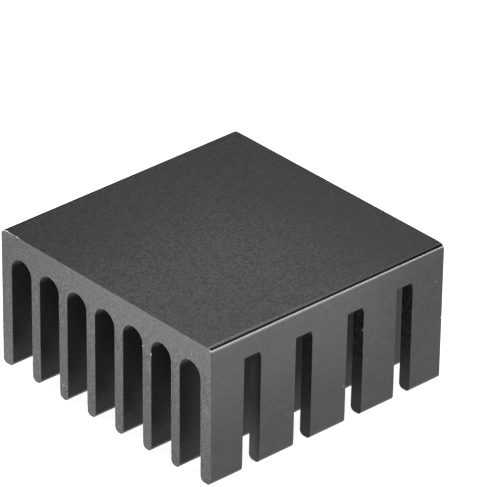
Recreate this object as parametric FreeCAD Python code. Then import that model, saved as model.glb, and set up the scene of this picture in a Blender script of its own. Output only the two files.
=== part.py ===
import FreeCAD, Part
import math
import os

# Extruded heat sink for a chip: a flat base plate with a comb of fins, cross-cut by saw slots
# into rows of tabs. It is one piece of black anodised aluminium.
#
# Millimetres. X runs across the fins, Y along the extrusion, +Z up. The heat sink stands on its
# fin tips with the flat mounting face on top, and the origin is at the middle of its footprint.

# Overall size
width = 20.0
length = 20.0
height = 10.0

# Extruded section
plate_thickness = 1.62      # metal between the mounting face and the crowns of the gaps
side_fin_thickness = 0.98   # the first and the last fin, which form the outer sides
fin_thickness = 0.80        # every fin between them
fin_count = 8
fin_pitch = 2.67            # between the middles of neighbouring inner fins
tip_radius = 0.35           # both corners of every fin tip
edge_radius = 0.40          # the two long edges of the mounting face
largest_tip_share = 0.45    # of a fin's thickness that one rounded corner may take

# Saw slots across the fins
slot_width = 1.43
slot_pitch = 4.37
corner_width = 0.16         # chamfer that the worn saw tooth leaves under each roof, along Y
corner_height = 0.43        # the same chamfer along Z
saw_overrun = 1.0           # how far the saw passes outside the bar

# Each slot in turn, from the near end: how far its middle wandered from the even pitch, and
# how much metal the saw left between the slot's roof and the mounting face.
slots = [
    (0.04, 1.70),
    (0.05, 1.94),
    (0.12, 1.94),
    (0.03, 1.79),
]


def at(x, z):
    """A point of the section, which lies in the XZ plane."""
    return FreeCAD.Vector(x, 0, z)


def quarter(centre, radius, start_degrees):
    """A quarter of a circle, counter-clockwise from the given direction."""
    points = []
    for turn in (0, 45, 90):
        angle = math.radians(start_degrees + turn)
        points.append(centre + radius * at(math.cos(angle), math.sin(angle)))
    return Part.Arc(*points).toShape()


def fin_walls():
    """The left and right wall of each fin, in X, from the left side to the right."""
    half_width = width / 2
    walls = [(-half_width, -half_width + side_fin_thickness)]
    inner_count = fin_count - 2
    for index in range(inner_count):
        middle = (index - (inner_count - 1) / 2) * fin_pitch
        walls.append((middle - fin_thickness / 2, middle + fin_thickness / 2))
    walls.append((half_width - side_fin_thickness, half_width))
    return walls


def rounding(left, right):
    """Corner radius of one fin's tip, which always leaves a narrow flat between the corners."""
    return min(tip_radius, largest_tip_share * (right - left))


def tip(left, right):
    """The bottom of one fin, from its left wall to its right wall."""
    radius = rounding(left, right)
    return [
        quarter(at(left + radius, radius), radius, 180),
        Part.makeLine(at(left + radius, 0), at(right - radius, 0)),
        quarter(at(right - radius, radius), radius, 270),
    ]


def gap(left_fin, right_fin):
    """The gap between two fins: up one wall, over the round crown and down the other wall."""
    left = left_fin[1]
    right = right_fin[0]
    crown_radius = (right - left) / 2
    crown_top = height - plate_thickness
    spring = crown_top - crown_radius
    crown = Part.Arc(at(left, spring), at((left + right) / 2, crown_top), at(right, spring))
    return [
        Part.makeLine(at(left, rounding(*left_fin)), at(left, spring)),
        crown.toShape(),
        Part.makeLine(at(right, spring), at(right, rounding(*right_fin))),
    ]


def outer_outline(left_fin, right_fin):
    """The outside, from the last fin's tip over the mounting face to the first fin's tip."""
    left = left_fin[0]
    right = right_fin[1]
    shoulder = height - edge_radius
    return [
        Part.makeLine(at(right, rounding(*right_fin)), at(right, shoulder)),
        quarter(at(right - edge_radius, shoulder), edge_radius, 0),
        Part.makeLine(at(right - edge_radius, height), at(left + edge_radius, height)),
        quarter(at(left + edge_radius, shoulder), edge_radius, 90),
        Part.makeLine(at(left, shoulder), at(left, rounding(*left_fin))),
    ]


def extruded_bar():
    """The bar as it leaves the die, cut to length and centred on the origin."""
    fins = fin_walls()
    edges = []
    for index, fin in enumerate(fins):
        edges += tip(*fin)
        if index < len(fins) - 1:
            edges += gap(fin, fins[index + 1])
    edges += outer_outline(fins[0], fins[-1])
    section = Part.Face(Part.Wire(edges))
    section.translate(FreeCAD.Vector(0, -length / 2, 0))
    return section.extrude(FreeCAD.Vector(0, length, 0))


def saw_cut(middle, metal_left):
    """What one saw pass takes away: straight sides, a flat roof and one chamfered corner."""
    near = middle - slot_width / 2
    far = middle + slot_width / 2
    roof = height - metal_left
    start = -width / 2 - saw_overrun
    outline = [
        (near, -saw_overrun),
        (near, roof),
        (far - corner_width, roof),
        (far, roof - corner_height),
        (far, -saw_overrun),
        (near, -saw_overrun),
    ]
    points = [FreeCAD.Vector(start, y, z) for y, z in outline]
    face = Part.Face(Part.makePolygon(points))
    return face.extrude(FreeCAD.Vector(width + 2 * saw_overrun, 0, 0))


def saw_cuts():
    """All the saw slots, on an even pitch about the middle of the length."""
    first = -(len(slots) - 1) / 2 * slot_pitch
    cuts = []
    for index, (wander, metal_left) in enumerate(slots):
        cuts.append(saw_cut(first + index * slot_pitch + wander, metal_left))
    return cuts


def heat_sink():
    """The finished piece: the extruded bar with its saw slots."""
    return extruded_bar().cut(saw_cuts())


os.makedirs("parts", exist_ok=True)
body = heat_sink()
body.exportStep("parts/heat_sink.step")
box = body.BoundBox
print("heat_sink: %.2f x %.2f x %.2f mm" % (box.XLength, box.YLength, box.ZLength))
print("%d solid, %.1f mm3, %d faces" % (len(body.Solids), body.Volume, len(body.Faces)))
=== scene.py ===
# %% [markdown]
# An extruded heat sink for a chip. It is one piece of aluminium: a bar is pushed through a die, so
# that it has a flat plate and a comb of fins, it is cut to length, slotted across with a saw and
# then anodised black. It stands on its fin tips here, with the mounting face on top. The sizes come
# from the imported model, which is loaded first and never changed, so nothing has to be fitted.

# %% Load the frame
import math

import bmesh
import bpy
from mathutils import Matrix, Vector


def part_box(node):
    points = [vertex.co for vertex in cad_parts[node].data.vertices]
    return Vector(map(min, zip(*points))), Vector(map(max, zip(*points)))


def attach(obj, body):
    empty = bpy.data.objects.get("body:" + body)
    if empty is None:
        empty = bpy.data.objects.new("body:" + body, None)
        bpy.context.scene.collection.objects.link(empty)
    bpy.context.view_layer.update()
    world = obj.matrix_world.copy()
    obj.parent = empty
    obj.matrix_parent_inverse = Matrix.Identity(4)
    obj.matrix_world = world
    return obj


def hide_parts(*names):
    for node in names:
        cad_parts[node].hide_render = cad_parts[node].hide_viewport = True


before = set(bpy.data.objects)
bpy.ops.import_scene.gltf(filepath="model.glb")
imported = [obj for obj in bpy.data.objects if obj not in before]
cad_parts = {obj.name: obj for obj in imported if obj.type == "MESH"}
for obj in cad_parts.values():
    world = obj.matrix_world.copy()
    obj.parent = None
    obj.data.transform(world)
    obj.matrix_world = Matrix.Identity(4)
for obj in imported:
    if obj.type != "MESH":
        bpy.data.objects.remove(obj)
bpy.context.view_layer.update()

MM = 0.001
low, high = [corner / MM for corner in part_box("heat_sink")]
size = high - low
middle = (low + high) / 2
print("heat sink, mm:", [round(side, 2) for side in size])

# %% [markdown]
# Every flat wall of the real part is one plane, so the places of the walls can be read from the
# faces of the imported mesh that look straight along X, Y or Z. The walls that look to the left or
# right are the sides of the fins. Those that look along Y are the two sawn ends and the sides of
# the saw slots. Reading them here keeps this file free of a second list of the same sizes. They
# are kept in millimetres, because the piece is drawn with one unit to the millimetre and shrunk
# to metres at the end: several of Blender's tools treat a tenth of a millimetre as nothing.

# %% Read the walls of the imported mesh
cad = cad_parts["heat_sink"].data
STRAIGHT = 0.9999
MICRON = 0.001


def places(axis, side):
    """Where the flat faces that look to one side of an axis lie along that axis, in order."""
    found = {round(face.center[axis] / MM, 3) for face in cad.polygons
             if face.normal[axis] * side > STRAIGHT}
    return sorted(found)


def reach(faces, axis):
    """The lowest and the highest corner of some faces along an axis."""
    values = [cad.vertices[index].co[axis] / MM for face in faces for index in face.vertices]
    return min(values), max(values)


fins = list(zip(places(0, -1), places(0, 1)))
gaps = [(left[1], right[0]) for left, right in zip(fins, fins[1:])]
slot_sides = list(zip(places(1, 1)[:-1], places(1, -1)[1:]))
print("fins:", len(fins), "gaps:", len(gaps), "slots:", len(slot_sides))

# %% [markdown]
# The rest of the section is round: both corners of each fin tip, the crown of each gap, which is
# half a circle, and the two long edges of the mounting face. A corner's radius is the distance
# from the wall to the end of the flat beside it. A saw slot has a flat roof, and its far corner
# has a small slope that the worn tooth of the saw leaves.

# %% Read the radii and the slots
SLANT = 0.1


def is_tip(face):
    """True for the flat bottom of a fin."""
    return face.normal.z < -STRAIGHT and face.center.z < MICRON * MM


tip_radius = reach(filter(is_tip, cad.polygons), 0)[0] - low.x
edge_radius = reach((face for face in cad.polygons if face.normal.z > STRAIGHT), 0)[0] - low.x
crown_top = reach((face for face in cad.polygons if face.normal.z < 0), 2)[1]


def slot_of(near, far):
    """One saw slot: its two sides, its roof, and where the slope at its far side begins."""
    inside = [face for face in cad.polygons if near < face.center.y / MM < far]
    roof = min(face.center.z for face in inside if face.normal.z < -STRAIGHT) / MM
    slope = [face for face in inside if face.normal.y < -SLANT and face.normal.z < -SLANT]
    return {"near": near, "far": far, "roof": roof,
            "slope_y": reach(slope, 1)[0], "slope_z": reach(slope, 2)[0]}


slots = [slot_of(near, far) for near, far in slot_sides]
print("tip radius %.2f, edge radius %.2f, crowns at %.2f" % (tip_radius, edge_radius, crown_top))
print("slots:", [{name: round(value, 2) for name, value in slot.items()} for slot in slots])

# %% [markdown]
# Blender's edit tools act on all that is selected, so two small helpers come first. One selects an
# object alone. The other selects the vertices, edges or faces that pass a test, which does in code
# what a click does by hand, and still finds them when a size of the part has changed.

# %% Helpers for selecting
def take(thing):
    """Select one object alone and make it the active one."""
    bpy.ops.object.select_all(action="DESELECT")
    thing.select_set(True)
    bpy.context.view_layer.objects.active = thing


def pick(kind, test):
    """In edit mode, select only the vertices, edges or faces that pass a test."""
    bpy.ops.mesh.select_mode(type=kind)
    bpy.ops.mesh.select_all(action="DESELECT")
    mesh = bpy.context.object.data
    shape = bmesh.from_edit_mesh(mesh)
    chosen = {"VERT": shape.verts, "EDGE": shape.edges, "FACE": shape.faces}[kind]
    for element in filter(test, chosen):
        element.select_set(True)
    shape.select_flush_mode()
    bmesh.update_edit_mesh(mesh)


def near_to(value, place):
    """True if a value is at a place, within a micron."""
    return abs(value - place) < MICRON


# %% [markdown]
# The section is drawn the way a die maker draws it: a rectangle as wide and as high as the part,
# cut by straight lines at the fin walls and at the top of the gaps. The cells of the gaps are
# deleted and the others melt into one face, which has sharp corners everywhere. It could also be
# drawn point by point, but lines right across the rectangle keep every wall straight by themselves.

# %% Draw the sharp section
bpy.ops.object.select_all(action="DESELECT")
bpy.ops.mesh.primitive_plane_add(size=1, location=(middle.x, low.y, middle.z),
                                 rotation=(math.radians(90), 0, 0))
sink = bpy.context.object
sink.name = "heat_sink_finished"
sink.data.name = "heat_sink_finished"
sink.scale = (size.x, size.z, 1)
bpy.ops.object.transform_apply(location=True, rotation=True, scale=True)

bpy.ops.object.mode_set(mode="EDIT")
cuts = [((x, 0, 0), (1, 0, 0)) for gap in gaps for x in gap]
cuts.append(((0, 0, crown_top), (0, 0, 1)))
for point, direction in cuts:
    bpy.ops.mesh.select_all(action="SELECT")
    bpy.ops.mesh.bisect(plane_co=point, plane_no=direction)


def in_gap(face):
    """True for a cell of the section that is air."""
    centre = face.calc_center_median()
    return centre.z < crown_top and any(left < centre.x < right for left, right in gaps)


pick("FACE", in_gap)
bpy.ops.mesh.delete(type="FACE")
bpy.ops.mesh.select_all(action="SELECT")
bpy.ops.mesh.dissolve_limited(angle_limit=math.radians(1))
print("corners of the sharp section:", len(bmesh.from_edit_mesh(sink.data).verts))

# %% [markdown]
# Now the corners are rounded. A bevel of a vertex of a flat face is a quarter circle, so the tips
# and the two long edges take one bevel each. A crown is two quarters that meet in the middle of
# the gap, so its bevel is half as wide as the gap. The gaps differ a little in width, so they are
# done one by one, and the two vertices that meet at each crown are merged.

# %% Round the corners
TIP_STEPS = 10
EDGE_STEPS = 14
CROWN_STEPS = 16


def round_off(radius, steps):
    """Turn each selected corner of the flat section into a quarter circle."""
    bpy.ops.mesh.bevel(offset=radius, offset_type="OFFSET", segments=steps, profile=0.5,
                       affect="VERTICES", clamp_overlap=False)


pick("VERT", lambda vertex: near_to(vertex.co.z, low.z))
round_off(tip_radius, TIP_STEPS)
pick("VERT", lambda vertex: near_to(vertex.co.z, high.z))
round_off(edge_radius, EDGE_STEPS)
for left, right in gaps:
    pick("VERT", lambda vertex: near_to(vertex.co.z, crown_top)
         and left - MICRON < vertex.co.x < right + MICRON)
    round_off((right - left) / 2, CROWN_STEPS)
bpy.ops.mesh.select_all(action="SELECT")
bpy.ops.mesh.remove_doubles(threshold=MICRON)
print("points round the finished section:", len(bmesh.from_edit_mesh(sink.data).verts))

# %% [markdown]
# The middle fins of the real part are a little longer than the outer ones, probably because metal
# flows more easily through the middle of a die, so the part stands on the middle ones. The tip of
# each fin is selected and moved down by an amount that follows a shallow bow over the width. This
# is done on the flat section, where a tip is a few points, and the bar then has it all along.

# %% Let the middle fins down
BOW = 0.16


def tip_of(left, right):
    """Where the tip of a fin ends, at the bottom of the bow."""
    across = (left + right) / 2 / high.x
    return low.z - BOW * (1 - across * across)


for left, right in fins:
    pick("VERT", lambda vertex: vertex.co.z < tip_radius + MICRON
         and left - MICRON < vertex.co.x < right + MICRON)
    bpy.ops.transform.translate(value=(0, 0, tip_of(left, right) - low.z))
longest = min(tip_of(*fin) for fin in fins)
print("tips at", [round(tip_of(*fin), 3) for fin in fins])

# %% [markdown]
# The press pushes the section out into a bar. One extrude does the same: the face moves along Y
# by the length of the part, and its sides close behind it.

# %% Extrude the bar
bpy.ops.mesh.select_mode(type="FACE")
bpy.ops.mesh.select_all(action="SELECT")
bpy.ops.mesh.extrude_region_move(TRANSFORM_OT_translate={"value": (0, size.y, 0)})
bpy.ops.mesh.select_all(action="SELECT")
bpy.ops.mesh.normals_make_consistent(inside=False)
print("bar:", len(bmesh.from_edit_mesh(sink.data).faces), "faces")

# %% [markdown]
# The saw that cut the bar to length didn't stand quite upright: the near end leans by less than a
# degree, so that it reaches a little further forward at the top than at the fin tips. The corners
# of the end face are selected by their place and turned about a line that runs across the end.
# Turning the whole end keeps it flat, as one pass of a saw leaves it.

# %% Lean the near end
LEAN = math.radians(0.83)
LEAN_HEIGHT = 6.6


def near_end(height):
    """Where the near end lies along Y at a height."""
    return low.y - (height - LEAN_HEIGHT) * math.tan(LEAN)


pick("VERT", lambda vertex: near_to(vertex.co.y, low.y))
bpy.ops.transform.rotate(value=-LEAN, orient_axis="X", orient_type="GLOBAL",
                         center_override=(0, low.y, LEAN_HEIGHT))
bpy.ops.object.mode_set(mode="OBJECT")
print("near end: top at %.3f, tips at %.3f" % (near_end(high.z), near_end(low.z)),
      "mesh from %.3f" % min(vertex.co.y for vertex in sink.data.vertices))

# %% [markdown]
# The saw takes away a straight slice through all the fins. The slice is made as a cube, with one
# corner cut off by a slanted bisect that fills the cut, because that is the slope at the far side
# of the roof. The four slices leave the bar with a Boolean modifier, which is applied at once. The
# walls could be pushed about by hand instead, but the Boolean cuts the round crowns cleanly too.

# %% Saw the slots
OVERRUN = 1


def saw_slice(slot):
    """What one pass of the saw takes away, as an object."""
    bottom = low.z - OVERRUN
    bpy.ops.object.select_all(action="DESELECT")
    bpy.ops.mesh.primitive_cube_add(
        size=1, location=(middle.x, (slot["near"] + slot["far"]) / 2, (slot["roof"] + bottom) / 2))
    cutter = bpy.context.object
    cutter.scale = (size.x + 2 * OVERRUN, slot["far"] - slot["near"], slot["roof"] - bottom)
    bpy.ops.object.transform_apply(location=True, rotation=True, scale=True)
    across = (0, slot["roof"] - slot["slope_z"], slot["far"] - slot["slope_y"])
    bpy.ops.object.mode_set(mode="EDIT")
    bpy.ops.mesh.select_all(action="SELECT")
    bpy.ops.mesh.bisect(plane_co=(0, slot["slope_y"], slot["roof"]), plane_no=across,
                        use_fill=True, clear_outer=True)
    bpy.ops.object.mode_set(mode="OBJECT")
    return cutter


def combine(thing, tool, operation):
    """Cut a tool out of a thing, or add it, and delete the tool."""
    take(thing)
    change = thing.modifiers.new(operation.lower(), "BOOLEAN")
    change.operation = operation
    change.solver = "EXACT"
    change.object = tool
    change.material_mode = "TRANSFER"
    bpy.ops.object.modifier_apply(modifier=change.name)
    mesh = tool.data
    bpy.data.objects.remove(tool)
    bpy.data.meshes.remove(mesh)


for slot in slots:
    combine(sink, saw_slice(slot), "DIFFERENCE")
print("slotted bar:", len(sink.data.polygons), "faces")

# %% [markdown]
# No sawn edge is as sharp as a knife: the bar is tumbled and etched before it is anodised. Where a
# sawn face meets a face that the die has made, the edge is broken by a few hundredths of a
# millimetre, and that thin facet catches the light. The edges of the mounting face stay sharp, as
# they do on a face that is rubbed flat last. The others are found by the way their two faces look,
# and only the ones that stick out are taken.

# %% Break the sawn edges
BROKEN_EDGE = 0.035
BROKEN_STEPS = 2
ACROSS = 0.02
SAWN = 0.99


def is_sawn_edge(edge):
    """True for an outward edge between a face that looks along Y and one that looks across it."""
    if not edge.is_convex or any(face.normal.z > STRAIGHT for face in edge.link_faces):
        return False
    along = sorted(abs(face.normal.y) for face in edge.link_faces)
    return along[0] < ACROSS and along[1] > SAWN


take(sink)
bpy.ops.object.mode_set(mode="EDIT")
pick("EDGE", is_sawn_edge)
bpy.ops.mesh.bevel(offset=BROKEN_EDGE, offset_type="OFFSET", segments=BROKEN_STEPS,
                   affect="EDGES", clamp_overlap=False)
bpy.ops.object.mode_set(mode="OBJECT")
print("with broken edges:", len(sink.data.polygons), "faces")

# %% [markdown]
# A finish is a little program of nodes. They could be placed and linked by hand, but sums are
# easier to read as sums. So one small class wraps a node's output, and an expression such as
# 0.4 + 0.1 * grain adds the Math nodes by itself.

# %% Sums on node sockets
class Signal:
    """The output of a node, on which plain arithmetic works."""

    def __init__(self, finish, socket):
        self.finish = finish
        self.socket = socket

    def math(self, operation, *values):
        inputs = dict(enumerate(values))
        return self.finish.node("ShaderNodeMath", {"operation": operation}, inputs)

    def __add__(self, other):
        return self.math("ADD", self, other)

    def __mul__(self, other):
        return self.math("MULTIPLY", self, other)

    def __sub__(self, other):
        return self.math("SUBTRACT", self, other)

    def __rsub__(self, other):
        return self.math("SUBTRACT", other, self)

    def at_least(self, floor):
        return self.math("MAXIMUM", self, floor)

    __radd__ = __add__
    __rmul__ = __mul__


# %% [markdown]
# A second class holds the material that is being made. It adds any node by its type, gives the
# place of a point in millimetres, and has a short word for each thing that all the finishes need:
# noise, grain, soft steps from one zone to the next, a grey with its roughness, and relief.

# %% A finish and its nodes
class Finish:
    """One material, from its Principled shader down to the nodes that feed it."""

    def __init__(self, name, constants):
        self.material = bpy.data.materials.new(name)
        self.material.use_nodes = True
        self.nodes = self.material.node_tree.nodes
        self.shader = self.nodes["Principled BSDF"]
        self.place = self.node("ShaderNodeTexCoord", out="Object")
        for socket_name, value in constants.items():
            self.feed(self.shader.inputs[socket_name], value)

    def node(self, kind, settings=None, inputs=None, out=0):
        """Add a node, set it, link or fill its inputs and give its output."""
        made = self.nodes.new(kind)
        for name, value in (settings or {}).items():
            setattr(made, name, value)
        for name, value in (inputs or {}).items():
            self.feed(made.inputs[name], value)
        return Signal(self, made.outputs[out])

    def feed(self, socket, value):
        """Link a signal to a socket, or put a plain value there."""
        if isinstance(value, Signal):
            self.material.node_tree.links.new(value.socket, socket)
        else:
            socket.default_value = value

    def along(self, axis):
        """Where a point of the part lies along X, Y or Z, in millimetres."""
        return self.node("ShaderNodeSeparateXYZ", None, {0: self.place}, out=axis) * (1 / MM)

    def noise(self, grain, stretch=(1, 1, 1), detail=2):
        """Noise from 0 to 1, with blotches about as wide as the grain, in millimetres.

        A stretch below 1 draws them out along its axis.
        """
        place = self.node("ShaderNodeMapping", {"vector_type": "POINT"},
                          {"Vector": self.place, "Scale": stretch})
        return self.node("ShaderNodeTexNoise", {"noise_dimensions": "3D"},
                         {"Vector": place, "Scale": 1 / (grain * MM), "Detail": detail,
                          "Roughness": 0.5})

    def speckle(self, grain):
        """Grain with more contrast: the middle half of plain noise, spread from 0 to 1."""
        return self.ramp(self.noise(grain, detail=1), 0.25, 0.75)

    def ramp(self, signal, start, end):
        """0 up to the start and 1 past the end, soft in between. The end may be the lower one."""
        return self.node("ShaderNodeMapRange", {"interpolation_type": "SMOOTHSTEP"},
                         {"Value": signal, "From Min": start, "From Max": end})

    def paint(self, brightness, roughness):
        """Give the surface a neutral grey of some brightness, and its roughness."""
        grey = self.node("ShaderNodeCombineColor", None,
                         {0: brightness, 1: brightness, 2: brightness})
        self.feed(self.shader.inputs["Base Color"], grey)
        self.feed(self.shader.inputs["Roughness"], roughness)

    def relief(self, height, depth):
        """Bump the surface by a height from 0 to 1 that stands for a depth in millimetres."""
        normal = self.node("ShaderNodeBump", None,
                           {"Height": height, "Distance": depth * MM, "Strength": 1.0})
        self.feed(self.shader.inputs["Normal"], normal)

    def done(self):
        """Print how many nodes the finish took and give its material."""
        print(self.material.name, "has", len(self.nodes), "nodes")
        return self.material


# %% [markdown]
# Anodising grows a clear, hard oxide on the metal and a dye blackens it, so the finish is not
# metallic: it is nearly black inside with a satin, glassy reflection on top. What differs from
# face to face is the skin under it and how well it took the dye, and besides that each finish
# paints in some light and shade. Each finish works out a number near 1, higher where the colour
# is paler, and it multiplies the one black that all of them share. A zone is a mask from 0 to 1
# with a soft border, times how much the number changes there. The mounting face is etched to a
# fine even grain, calmer in a band along the left side and another at the far end. It is painted
# darker in those two bands and paler a little to the right of the middle: painted shade and a
# painted sheen.

# %% The etched mounting face
ANODISED = {"Metallic": 0.0, "IOR": 1.5}
BLACK = 0.02
GRAIN = 0.14
ETCH_DEPTH = 0.0008
FINISHES = {}


def etched():
    """Fine even grain, calmer to the left and at the far end, with painted shade and sheen."""
    finish = Finish("black_anodised_etched", ANODISED)
    grain = finish.speckle(GRAIN)
    across = finish.along("X")
    off_left = finish.ramp(across, -6, -1)
    painted_sheen = finish.ramp(across, -2, 1) * finish.ramp(across, 8, 3)
    far_end = finish.ramp(finish.along("Y"), -1, 8)
    open_part = off_left * (1 - far_end)
    # Painted shade in the left and far bands and a painted sheen right of the middle, on top of the
    # dye.
    dye_and_painted_light = 0.77 - 0.12 * far_end + off_left * (0.52 - 0.6 * far_end) + 0.38 * painted_sheen * open_part
    specks = 2.1 - 0.3 * far_end + open_part * (1.6 + 1.4 * finish.ramp(across, 0, 7))
    dye_and_painted_light = (dye_and_painted_light + specks * (grain - 0.5)).at_least(0)
    finish.paint(BLACK * dye_and_painted_light, 0.36 + 0.08 * grain)
    finish.relief(grain, ETCH_DEPTH)
    return finish.done()


FINISHES["etched"] = etched()

# %% [markdown]
# The saw leaves the two ends matte and close-grained. Their colour is painted palest above the
# middle fins and darker towards the upper left and the lower right: painted light and shade that
# changes slowly over the end. Two numbers from about -1 to 1 say where a point lies on the end, so
# that their product alone tells those two corners from the other two. The grain is harshest at the
# upper left corner.

# %% The sawn ends
WAIST = 4
HALF_HEIGHT = 5


def sawn_end():
    """Granular matte skin, with painted light and shade that changes slowly over the end."""
    finish = Finish("black_anodised_end", ANODISED)
    grain = finish.speckle(GRAIN)
    across = (1 / high.x) * finish.along("X")
    height = (1 / HALF_HEIGHT) * (finish.along("Z") - WAIST)
    crown = finish.ramp(height, 0.2, 1) * (1 - across * across)
    corner = finish.ramp(across, -0.86, -0.98) * finish.ramp(height, 1, 1.12)
    # Painted light and shade: paler above the middle fins, darker to the upper left and lower
    # right.
    dye_and_painted_light = 1.19 + 0.4 * across - 0.08 * height + 0.72 * across * height + 0.78 * crown
    specks = 3.0 - 1.0 * finish.ramp(height, 0.7, 1) + 4 * corner
    dye_and_painted_light = (dye_and_painted_light + specks * (grain - 0.5)).at_least(0)
    finish.paint(BLACK * dye_and_painted_light, 0.41 + 0.08 * grain)
    finish.relief(grain, ETCH_DEPTH)
    return finish.done()


FINISHES["end"] = sawn_end()

# %% [markdown]
# In the slots the saw's teeth leave short marks that run up and down: noise that is drawn out
# along Z. The first slot is smoother, as if the saw was fresher there. Its colour is painted paler,
# most of all towards the tips, while in the other slots it is painted darker there, and every slot
# is painted darkest beside the outer edge: painted light and shade. Nothing rubs the skin in here,
# so it reflects less than the outer faces do.

# %% The sawn slots
UNRUBBED = {"Metallic": 0.0, "IOR": 1.5, "Specular IOR Level": 0.24}
SAW_MARK = 0.13
UPRIGHT = (1, 1, 0.4)
SAW_DEPTH = 0.002


def sawn_slot():
    """Matte skin with upright saw marks, smoother in the first slot, with painted light and shade.
    """
    finish = Finish("black_anodised_slot", UNRUBBED)
    grain = finish.speckle(GRAIN)
    marks = finish.ramp(finish.noise(SAW_MARK, UPRIGHT, detail=1), 0.3, 0.7)
    across = finish.along("X")
    height = finish.along("Z")
    tips = finish.ramp(height, 5, 1)
    first = finish.ramp(finish.along("Y"), -3.5, -5)
    # Painted light and shade: paler in the first slot towards the tips, darker there in the others.
    dye_and_painted_light = 1.2 - 1.0 * tips + first * (0.7 + finish.ramp(height, 8, 6) + 2.5 * tips)
    # Painted shade: the next two lines darken every slot beside the outer edge.
    dye_and_painted_light = dye_and_painted_light * (1 - 0.5 * first * finish.ramp(across, 9.3, 9.9))
    dye_and_painted_light = dye_and_painted_light * (1 - 0.6 * finish.ramp(across, 9.75, 9.95))
    uneven = (1 - 0.75 * first) * (1.5 * (marks - 0.5) + 0.9 * (grain - 0.5))
    dye_and_painted_light = dye_and_painted_light * (1 + uneven).at_least(0)
    finish.paint(BLACK * dye_and_painted_light, 0.36 + 0.16 * marks)
    finish.relief(grain + marks, SAW_DEPTH)
    return finish.done()


FINISHES["slot"] = sawn_slot()

# %% [markdown]
# The die leaves its own marks: long faint lines that run the whole length of the bar. Noise that is
# stretched far along Y draws them. The outer sides and the rounded edges have been rubbed to a
# satin by rollers and hands. The colour of the sides is painted palest at the upper near corner and
# darker downwards and towards the far end: painted light and shade. The rounded edges are painted
# darker, a painted dark reflection, and where they run out into the mounting face their skin turns
# duller, with a paler band painted there as a highlight.

# %% The outer sides
DIE_LINE = 0.25
LENGTHWISE = (1, 0.01, 1)
CLOUD = 0.35
LINE_DEPTH = 0.0004


def drawn_side():
    """Satin skin with soft clouds, faint lines along the bar, and painted light and shade."""
    finish = Finish("black_anodised_side", ANODISED)
    lines = finish.noise(DIE_LINE, LENGTHWISE, detail=3)
    clouds = finish.noise(CLOUD)
    height = finish.along("Z")
    along = finish.along("Y")
    far_end = finish.ramp(along, 0, 9)
    upper = finish.ramp(height, 2, 8.5)
    shoulder = finish.ramp(height, 8.8, 9.5)
    rounded = finish.ramp(height, 9.7, 9.85)
    crest = finish.ramp(height, 9.96, 9.995)
    # Painted light and shade: paler at the upper near corner, darker downwards and to the far end.
    dye_and_painted_light = 0.95 - 0.48 * far_end + 1.25 * upper * (1 - far_end) + 0.25 * shoulder
    dye_and_painted_light = dye_and_painted_light + 0.6 * (lines - 0.5) + 1.5 * (clouds - 0.5)
    # The rounded edge is painted darker: a painted dark reflection.
    dye_and_painted_light = dye_and_painted_light * (1 - 0.75 * rounded) + 0.2 * far_end * rounded
    # A painted highlight where the rounded edge runs out into the mounting face.
    dye_and_painted_light = dye_and_painted_light + crest * (0.95 * finish.ramp(along, -4, 2) + 0.3 * far_end - 0.35)
    dull = crest * (0.06 + 0.16 * finish.ramp(along, -2, 4))
    finish.paint(BLACK * dye_and_painted_light, 0.11 + 0.05 * lines + dull)
    finish.relief(lines, LINE_DEPTH)
    return finish.done()


FINISHES["side"] = drawn_side()

# %% [markdown]
# Inside the gaps nothing rubs, so the same lines lie under a duller skin. The colour changes little
# in here, but it is painted darkest at the near end of the fin tips: painted shade.

# %% The walls of the gaps
GAP_DEPTH = 0.0006


def drawn_gap():
    """Dull skin with faint lines along the bar, and painted shade at the front of the fin tips."""
    finish = Finish("black_anodised_gap", UNRUBBED)
    lines = finish.noise(DIE_LINE, LENGTHWISE, detail=3)
    grain = finish.speckle(GRAIN)
    inside = finish.ramp(finish.along("Y"), -9, -6)
    tips = finish.ramp(finish.along("Z"), 5, 1)
    # Painted shade: darkest at the near end of the fin tips.
    dye_and_painted_light = 1.15 + 0.15 * inside + tips * (inside - 0.9) + 0.4 * (lines - 0.5) + 0.5 * (grain - 0.5)
    finish.paint(BLACK * dye_and_painted_light, 0.34 + 0.04 * lines)
    finish.relief(lines + grain, GAP_DEPTH)
    return finish.done()


FINISHES["gap"] = drawn_gap()

# %% [markdown]
# A broken edge takes little dye and is handled first, so it is a paler grey than the walls that
# meet there. The pale grey is partly that wear and partly a painted highlight: it draws a thin
# light line round every fin and slot.

# %% The broken edges
WEAR = 0.2


def worn_edge_painted_highlight():
    """Thin, worn skin on the edges, painted pale as a highlight line."""
    finish = Finish("black_anodised_edge", ANODISED)
    wear = finish.speckle(WEAR)
    # Partly wear and partly a painted highlight: a pale grey line round the edges.
    finish.paint(0.03 + 0.06 * wear, 0.35 + 0.1 * wear)
    return finish.done()


FINISHES["edge"] = worn_edge_painted_highlight()

# %% [markdown]
# The faces are sorted by the way they look and where they lie. A facet that looks neither along
# the bar nor straight across it is a broken edge, unless it is the slope in a slot. The flat top
# is etched, the roofs and walls of the slots and the two ends are sawn, and the die made all the
# rest. Sorting by code could be replaced by clicks, but it would have to be done again each time.

# %% Lay the finishes on the faces
sink.data.materials.clear()
for material in FINISHES.values():
    sink.data.materials.append(material)
order = list(FINISHES)


def is_broken_edge(face):
    """True for a facet between a sawn face and a face that the die has made."""
    slope = face.normal.z < -SLANT and abs(face.normal.x) < ACROSS and face.center.z > tip_radius
    return ACROSS < abs(face.normal.y) < SAWN - ACROSS and not slope


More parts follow.
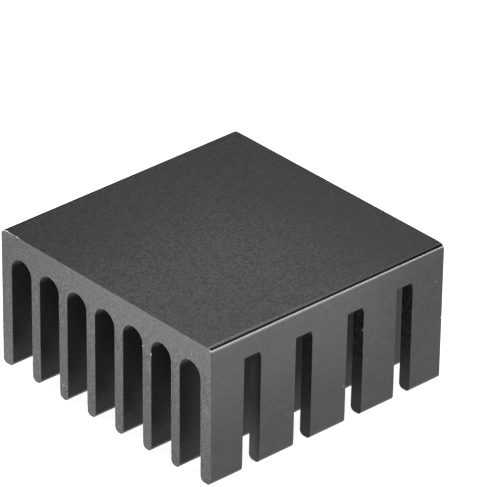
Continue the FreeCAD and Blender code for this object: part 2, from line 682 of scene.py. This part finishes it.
def finish_of(face):
    """The finish that a face of the piece has."""
    centre = face.center
    if is_broken_edge(face):
        return "edge"
    in_slot = any(slot["near"] - MICRON < centre.y < slot["far"] + MICRON for slot in slots)
    is_roof = in_slot and face.normal.z < -STRAIGHT
    if is_roof or abs(face.normal.y) > ACROSS:
        return "slot" if in_slot else "end"
    if face.normal.z > STRAIGHT:
        return "etched"
    between_fins = any(left - MICRON < centre.x < right + MICRON for left, right in gaps)
    return "gap" if between_fins else "side"


counts = {name: 0 for name in order}
for face in sink.data.polygons:
    name = finish_of(face)
    face.material_index = order.index(name)
    counts[name] += 1
print("faces of each finish:", counts)

# %% [markdown]
# Handling rubs the black skin thin or right through, and three more skins stand for that. Bare
# metal is bright, a thin skin is silvery, and a worn one is a dull grey. They join the others on
# the piece, so that a mark can name the one that it shows.

# %% The skins of the marks
SCRATCH = 0.05


def rubbed_metal(name, darkest, contrast):
    """Metal that shows through, from its darkest grey up by the contrast of its fine scratches."""
    finish = Finish(name, {"Metallic": 1.0})
    grain = finish.noise(SCRATCH)
    finish.paint(darkest + contrast * grain, 0.35 + 0.2 * grain)
    return finish.done()


def worn():
    """A dull grey speck, where the black skin is nearly gone."""
    finish = Finish("worn_skin", ANODISED)
    finish.paint(0.1 + 0.1 * finish.noise(SCRATCH), 0.4)
    return finish.done()


FINISHES["bare"] = rubbed_metal("bare_aluminium", 0.4, 0.5)
FINISHES["thin"] = rubbed_metal("thin_skin", 0.08, 0.25)
FINISHES["worn"] = worn()
for name in ("bare", "thin", "worn"):
    sink.data.materials.append(FINISHES[name])

# %% [markdown]
# Saws and handling leave marks: chips at the sharpest corners, and short burrs where a tooth
# pushed metal over an edge. A chip is bitten out with a small rough stone, made from an icosphere
# by moving its vertices at random, and a burr is the same stone added on. The cut face takes the
# stone's own material. A mark could be bump alone, but real chips show in the outline as well.

# %% The stones
ROUGH_STONE = 0.12


def stone(number, place, extent, skin):
    """A small rough lump at a place, with how far it extends along X, Y and Z each way."""
    bpy.ops.object.select_all(action="DESELECT")
    bpy.ops.mesh.primitive_ico_sphere_add(subdivisions=2, radius=1, location=place)
    lump = bpy.context.object
    lump.scale = extent
    lump.data.materials.append(FINISHES[skin])
    bpy.ops.object.mode_set(mode="EDIT")
    bpy.ops.transform.vertex_random(offset=ROUGH_STONE, seed=number)
    bpy.ops.object.mode_set(mode="OBJECT")
    bpy.ops.object.transform_apply(location=True, rotation=True, scale=True)
    return lump


# %% [markdown]
# The near end has most of them. Two fins have lost a corner of their tip, and one of these has a
# scratch across it. The top edge is rubbed bright over its left shoulder and at the right one, and
# a few specks of metal show beside the gaps. Each mark has its X and Z, how far it extends along
# X, Y and Z, and the skin that it shows. Its place along Y follows from the lean of the end.

# %% Marks on the near end
left_side = low.x
right_side = high.x
top = high.z
near_marks = [
    (fins[2][0] + 0.17, tip_of(*fins[2]) + 0.03, (0.13, 0.16, 0.07), "end"),
    (fins[3][0] + 0.17, tip_of(*fins[3]) + 0.02, (0.10, 0.16, 0.06), "end"),
    (fins[2][0] + 0.42, 0.95, (0.36, 0.02, 0.02), "worn"),
    (fins[2][0] + 0.32, 0.86, (0.07, 0.02, 0.05), "thin"),
    (left_side + 0.23, top - 0.05, (0.15, 0.04, 0.05), "thin"),
    (left_side + 0.52, top, (0.19, 0.03, 0.03), "thin"),
    (left_side + 0.86, top, (0.18, 0.03, 0.03), "thin"),
    (left_side + 1.18, top, (0.16, 0.03, 0.03), "worn"),
    (left_side + 1.50, top, (0.15, 0.03, 0.03), "thin"),
    (left_side + 1.78, top - 0.01, (0.14, 0.03, 0.03), "worn"),
    (right_side - 0.11, top - 0.11, (0.10, 0.07, 0.10), "bare"),
    (right_side - 0.34, top - 0.06, (0.12, 0.04, 0.04), "worn"),
    (right_side - 0.70, top - 0.05, (0.10, 0.03, 0.03), "worn"),
    (fins[5][1] - 0.12, 8.76, (0.05, 0.03, 0.05), "thin"),
    (fins[6][1] + 1.08, 8.89, (0.06, 0.03, 0.06), "thin"),
    (right_side - 2.12, top, (0.05, 0.03, 0.03), "thin"),
    (gaps[5][0], 7.12, (0.04, 0.04, 0.12), "bare"),
]
near_marks = [((x, near_end(z), z), extent, skin) for x, z, extent, skin in near_marks]
print("marks on the near end:", len(near_marks))

# %% [markdown]
# The far upright edge of the right side has a nick, and a few pin-sized specks lie on that side
# and on top. The saw has thrown a short burr over the far edge of each of the last two slots, so
# these are placed from the slots. One more burr hangs in a gap at the near end. Now all the chips
# are cut out and the burrs are added, one stone at a time.

# %% Marks on the right side and the top
far_end = high.y
far_marks = [
    ((right_side + 0.03, far_end + 0.03, 4.55), (0.12, 0.12, 0.18), "side"),
    ((right_side + 0.01, 9.34, 7.48), (0.03, 0.07, 0.07), "worn"),
    ((right_side + 0.01, 5.07, 6.42), (0.03, 0.05, 0.05), "worn"),
    ((right_side + 0.01, slots[2]["near"] - 0.20, 2.84), (0.03, 0.08, 0.06), "worn"),
    ((right_side + 0.01, slots[3]["far"] + 0.04, 5.97), (0.03, 0.04, 0.04), "worn"),
    ((9.24, 9.36, top + 0.01), (0.04, 0.05, 0.03), "worn"),
]
burrs = [
    ((gaps[4][1] - 0.01, near_end(7.4) + 0.03, 7.40), (0.03, 0.04, 0.05), "bare"),
    ((right_side - 0.06, slots[2]["far"], 6.38), (0.05, 0.09, 0.18), "side"),
    ((right_side - 0.05, slots[3]["far"], 6.10), (0.04, 0.15, 0.04), "side"),
]
for number, mark in enumerate(near_marks + far_marks):
    combine(sink, stone(number, *mark), "DIFFERENCE")
for number, mark in enumerate(burrs):
    combine(sink, stone(number, *mark), "UNION")
print(len(near_marks) + len(far_marks), "chips,", len(burrs), "burrs:",
      len(sink.data.polygons), "faces")

# %% [markdown]
# Round places should shade smoothly and flat ones should stay flat. Shading smooth by angle rounds
# the crowns, the tips and the broken edges. The weighted normals then lean every normal towards
# the largest face beside it, so that a big flat wall next to a curve isn't shaded as if it bulged.

# %% Shade round and flat places
SMOOTH_BELOW = 46
LARGEST_FACE_FIRST = 100
take(sink)
bpy.ops.object.shade_smooth_by_angle(angle=math.radians(SMOOTH_BELOW))
flatten = sink.modifiers.new("flat walls", "WEIGHTED_NORMAL")
flatten.mode = "FACE_AREA"
flatten.weight = LARGEST_FACE_FIRST
flatten.keep_sharp = True
bpy.ops.object.modifier_apply(modifier=flatten.name)
print("shaded smooth below", SMOOTH_BELOW, "degrees")

# %% [markdown]
# The piece is finished in shape, so it is brought from millimetres to metres. The scale goes into
# the mesh, and the object stays unscaled at the origin, as every piece of the frame does. It then
# takes the place of the imported node and rides on the only body there is.

# %% Bring the piece to metres and into the frame
take(sink)
sink.scale = (MM, MM, MM)
bpy.ops.object.transform_apply(location=True, rotation=True, scale=True)
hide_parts("heat_sink")
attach(sink, "root")
print("finished piece, mm:", [round(side / MM, 2) for side in sink.dimensions])

# %% [markdown]
# The part stands on a plain light table, as small products often do: a white top that glows. It
# stays white all round with no shadow on it, and what it gives off lights the gaps from below and
# gives the upright faces their sheen. In Blender it is one plane whose white shader also emits. It
# lies under the longest fins.

# %% The table
TABLE_SIDE = 3.0
bpy.ops.object.select_all(action="DESELECT")
bpy.ops.mesh.primitive_plane_add(size=TABLE_SIDE, location=(0, 0, longest * MM))
table = bpy.context.object
table.name = "table"
paper = Finish("white_table", {"Base Color": (0.8, 0.8, 0.8, 1), "Roughness": 0.9,
                               "Emission Color": (1, 1, 1, 1), "Emission Strength": 0.95})
table.data.materials.append(paper.done())

# %% [markdown]
# The rest of the light comes from soft boxes in dark air. Each has a direction, a size and a
# radiance, and its power in watts follows from them, so that a larger box at the same radiance
# looks as bright in a reflection as a small one. All stand at the same distance.

# %% A soft box
BOX_DISTANCE = 200


def towards(azimuth, elevation):
    """A direction from the part: azimuth 0 is the near side, 90 the right, elevation is up."""
    turn = math.radians(azimuth)
    rise = math.radians(elevation)
    flat = math.cos(rise)
    return Vector((math.sin(turn) * flat, -math.cos(turn) * flat, math.sin(rise)))


def soft_box(name, azimuth, elevation, wide_tall, radiance):
    """A rectangular light of some width and height that faces the part, in millimetres."""
    direction = towards(azimuth, elevation)
    wide, tall = wide_tall
    bpy.ops.object.select_all(action="DESELECT")
    bpy.ops.object.light_add(type="AREA", location=(middle + direction * BOX_DISTANCE) * MM)
    box = bpy.context.object
    box.name = name
    box.rotation_euler = direction.to_track_quat("Z", "Y").to_euler()
    box.data.shape = "RECTANGLE"
    box.data.size = wide * MM
    box.data.size_y = tall * MM
    box.data.energy = radiance * math.pi * wide * tall * MM * MM
    print(name, "power", round(box.data.energy, 4), "W")


# %% [markdown]
# Four strips stand behind the part on the right, in steps from high to low: the rounded long edge
# reflects them as a bright line, and the dark air over them gives the black line beside it. They
# light the right side too, and so does a small box below them. A large box stands low on the left,
# outside the picture, and lights the near end. Three small ones stand high behind, and the
# mounting face mirrors them softly.

# %% The lights
STRIP = (80, 16)
SMALL = (40, 40)
LARGE = (80, 80)
soft_box("strip_high", 124, 38, STRIP, 8.8)
soft_box("strip_middle", 124, 26, STRIP, 23.0)
soft_box("strip_low", 124, 20, STRIP, 17.8)
soft_box("strip_far", 136, 8, STRIP, 7.7)
soft_box("low_behind_right", 120, 5, SMALL, 6.0)
soft_box("low_left", 302, 12, LARGE, 48.8)
soft_box("behind_left", 225, 45, SMALL, 9.0)
soft_box("behind", 195, 55, SMALL, 3.2)
soft_box("behind_right", 180, 55, SMALL, 2.0)

# %% [markdown]
# Seen from the side, the room behind the table would be black. The world gets a pale grey that
# only the camera sees: its visibility to every other kind of ray is off, so that it lights nothing
# and the dark air stays dark in the reflections.

# %% The pale room
ROOM_GREY = 0.8
room = bpy.data.worlds.new("pale_room")
room.color = (ROOM_GREY, ROOM_GREY, ROOM_GREY)
bpy.context.scene.world = room
for kind in ("diffuse", "glossy", "transmission", "scatter"):
    setattr(room.cycles_visibility, kind, False)
print("world:", room.name)

# %% [markdown]
# The camera stands where the photographer's stood: it faces the corner between the near end and the
# right side, thirty degrees up, about 37 centimetres away with a long lens, so that the edges stay
# almost parallel. It is turned to its direction, tipped down and rolled by a degree, in that order.
# The Standard view transform keeps the table white.

# %% The camera
AZIMUTH = 47.01
ELEVATION = 30.00
ROLL = 1.13
LENS = 417.9
SENSOR = 36
DISTANCE = 370.41
AIM = Vector((-4.742, 6.276, 5.0))
NEAREST = 10
FARTHEST = 5000

bpy.ops.object.camera_add()
camera = bpy.context.object
stand = (AIM + towards(AZIMUTH, ELEVATION) * DISTANCE) * MM
camera.matrix_world = (Matrix.Translation(stand)
                       @ Matrix.Rotation(math.radians(AZIMUTH), 4, "Z")
                       @ Matrix.Rotation(math.radians(90 - ELEVATION), 4, "X")
                       @ Matrix.Rotation(math.radians(ROLL), 4, "Z"))
camera.data.lens = LENS
camera.data.sensor_width = SENSOR
camera.data.clip_start = NEAREST * MM
camera.data.clip_end = FARTHEST * MM
bpy.context.scene.camera = camera
bpy.context.scene.view_settings.view_transform = "Standard"
print("camera stands at, mm:", [round(value / MM, 1) for value in stand])
